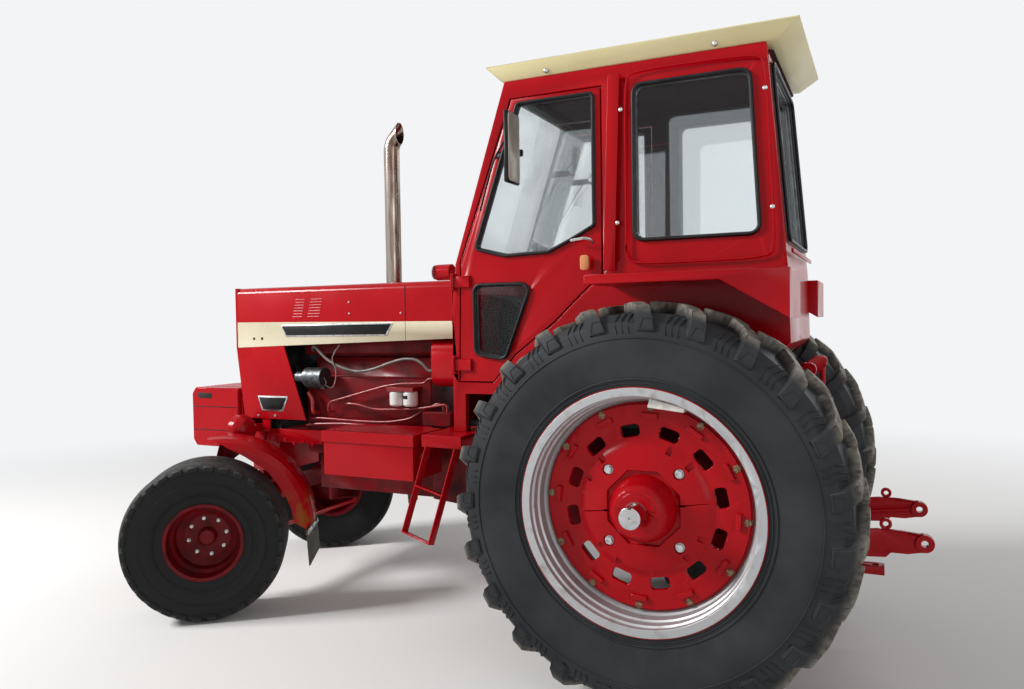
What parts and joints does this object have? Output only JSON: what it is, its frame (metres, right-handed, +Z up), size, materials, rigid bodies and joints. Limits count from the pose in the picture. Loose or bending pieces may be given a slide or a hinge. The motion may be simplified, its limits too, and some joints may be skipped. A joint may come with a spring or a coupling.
{
  "type": "farm tractor with cab",
  "caption": "Row-crop farm tractor with a glazed cab, open engine, lugged rear tyres, steered front wheels with mudguards, front weights and a rear hitch.",
  "frame": {"origin": "on the ground below the middle of the whole machine, wheels turned as it is parked", "axes": "+X forward, +Y to the left, +Z up"},
  "size_m": [4.4199, 2.2734, 2.925],
  "materials": {
    "red_paint": "gloss",
    "dark_red_paint": "satin",
    "cream_paint": "gloss",
    "rim_silver": "satin",
    "tyre": "matt",
    "flap_rubber": "matt",
    "stainless": "polished",
    "bare_steel": "satin",
    "glass": "clear",
    "black_plastic": "satin",
    "seat_vinyl": "grained",
    "grey_metal": "satin",
    "white_paint": "gloss"
  },
  "bodies": {
    "chassis": {"transmission_case": "dark_red_paint", "engine_block": "dark_red_paint", "exhaust_manifold": "grey_metal", "alternator": "bare_steel", "oil_filters": "white_paint", "engine_pipes": "bare_steel", "engine_hose": "black_plastic", "rear_axle_housings": "dark_red_paint", "radiator": "grey_metal", "fan": "grey_metal", "front_frame": "red_paint", "front_weights": "red_paint", "bonnet": "red_paint", "side_bands": "cream_paint", "nose_panels": "red_paint", "grille": "black_plastic", "fuel_tank": "red_paint", "exhaust_pipe": "stainless", "front_axle_beam": "red_paint", "lamps": "red_paint", "tool_boxes": "red_paint", "ladders": "red_paint", "cab_frame": "red_paint", "cab_floor": "grey_metal", "rear_fenders": "red_paint", "cab_roof": "cream_paint", "cab_glass": "glass", "seat": "seat_vinyl", "console": "grey_metal", "steering_wheel": "black_plastic", "drawbar": "red_paint"},
    "rear_wheel_left": {"rear_tyre_left": "tyre", "rear_rim_left": "rim_silver", "rear_wheel_centre_left": "red_paint"},
    "knuckle_left": {"knuckle_left": "dark_red_paint", "front_fender_left": "red_paint", "mudflap_left": "flap_rubber"},
    "front_wheel_left": {"front_tyre_left": "tyre", "front_rim_left": "red_paint"},
    "door_left": {"door_left": "red_paint", "door_glass_left": "glass", "mirror_left": "black_plastic"},
    "tool_box_lid_left": {"tool_box_lid_left": "red_paint"},
    "rear_wheel_right": {"rear_tyre_right": "tyre", "rear_rim_right": "rim_silver", "rear_wheel_centre_right": "red_paint"},
    "knuckle_right": {"knuckle_right": "dark_red_paint", "front_fender_right": "red_paint", "mudflap_right": "flap_rubber"},
    "front_wheel_right": {"front_tyre_right": "tyre", "front_rim_right": "red_paint"},
    "door_right": {"door_right": "red_paint", "door_glass_right": "glass", "mirror_right": "black_plastic"},
    "tool_box_lid_right": {"tool_box_lid_right": "red_paint"},
    "tie_rod": {"tie_rod": "dark_red_paint"},
    "lift_arms": {"lift_arms": "red_paint"},
    "lift_rods": {"lift_rods": "red_paint"},
    "lower_links": {"lower_links": "red_paint"}
  },
  "joints": [
    {"name": "rear_wheel_left_roll", "type": "hinge", "parent": "chassis", "child": "rear_wheel_left", "pos_m": [-1.10703, 0.768, 0.865], "axis": [0, 1, 0], "continuous": true},
    {"name": "steer_left", "type": "hinge", "parent": "chassis", "child": "knuckle_left", "pos_m": [1.63797, 0.575, 0.575], "axis": [0, 0, 1], "range_deg": [-77.5, 2.5]},
    {"name": "front_wheel_left_roll", "type": "hinge", "parent": "knuckle_left", "child": "front_wheel_left", "pos_m": [1.50404, 0.74954, 0.445], "axis": [-0.6088, 0.7934, 0], "continuous": true},
    {"name": "door_left_hinge", "type": "hinge", "parent": "chassis", "child": "door_left", "pos_m": [0.01097, 0.49, 1.65], "axis": [0, 0, -1], "range_deg": [0, 85]},
    {"name": "tool_box_lid_left_hinge", "type": "hinge", "parent": "chassis", "child": "tool_box_lid_left", "pos_m": [0.47997, 0.311, 1.065], "axis": [1, 0, 0], "range_deg": [0, 90]},
    {"name": "rear_wheel_right_roll", "type": "hinge", "parent": "chassis", "child": "rear_wheel_right", "pos_m": [-1.10703, -0.768, 0.865], "axis": [0, 1, 0], "continuous": true},
    {"name": "steer_right", "type": "hinge", "parent": "chassis", "child": "knuckle_right", "pos_m": [1.63797, -0.575, 0.575], "axis": [0, 0, 1], "range_deg": [-77.5, 2.5]},
    {"name": "front_wheel_right_roll", "type": "hinge", "parent": "knuckle_right", "child": "front_wheel_right", "pos_m": [1.7719, -0.74954, 0.445], "axis": [-0.6088, 0.7934, 0], "continuous": true},
    {"name": "door_right_hinge", "type": "hinge", "parent": "chassis", "child": "door_right", "pos_m": [0.01097, -0.49, 1.65], "axis": [0, 0, 1], "range_deg": [0, 85]},
    {"name": "tool_box_lid_right_hinge", "type": "hinge", "parent": "chassis", "child": "tool_box_lid_right", "pos_m": [0.47997, -0.311, 1.065], "axis": [-1, 0, 0], "range_deg": [0, 90]},
    {"name": "tie_rod_pivot", "type": "hinge", "parent": "knuckle_left", "child": "tie_rod", "pos_m": [1.51897, 0.48369, 0.356], "axis": [0, 0, 1], "range_deg": [-2.5, 77.5]},
    {"name": "lift_arms_pivot", "type": "hinge", "parent": "chassis", "child": "lift_arms", "pos_m": [-1.40703, 0, 1.18], "axis": [0, 1, 0], "range_deg": [-30, 8]},
    {"name": "lower_links_pivot", "type": "hinge", "parent": "chassis", "child": "lower_links", "pos_m": [-1.22703, 0, 0.6], "axis": [0, 1, 0], "range_deg": [-21, 5.6]},
    {"name": "lift_rods_pivot", "type": "hinge", "parent": "lift_arms", "child": "lift_rods", "pos_m": [-1.71703, 0, 1.42], "axis": [0, 1, 0], "range_deg": [-6.14, 23.01]}
  ],
  "couplings": [
    {"joint": "steer_right", "follows": "steer_left", "ratio": 1},
    {"joint": "tie_rod_pivot", "follows": "steer_left", "ratio": -1},
    {"joint": "lower_links_pivot", "follows": "lift_arms_pivot", "ratio": 0.7},
    {"joint": "lift_rods_pivot", "follows": "lift_arms_pivot", "ratio": -0.767}
  ]
}
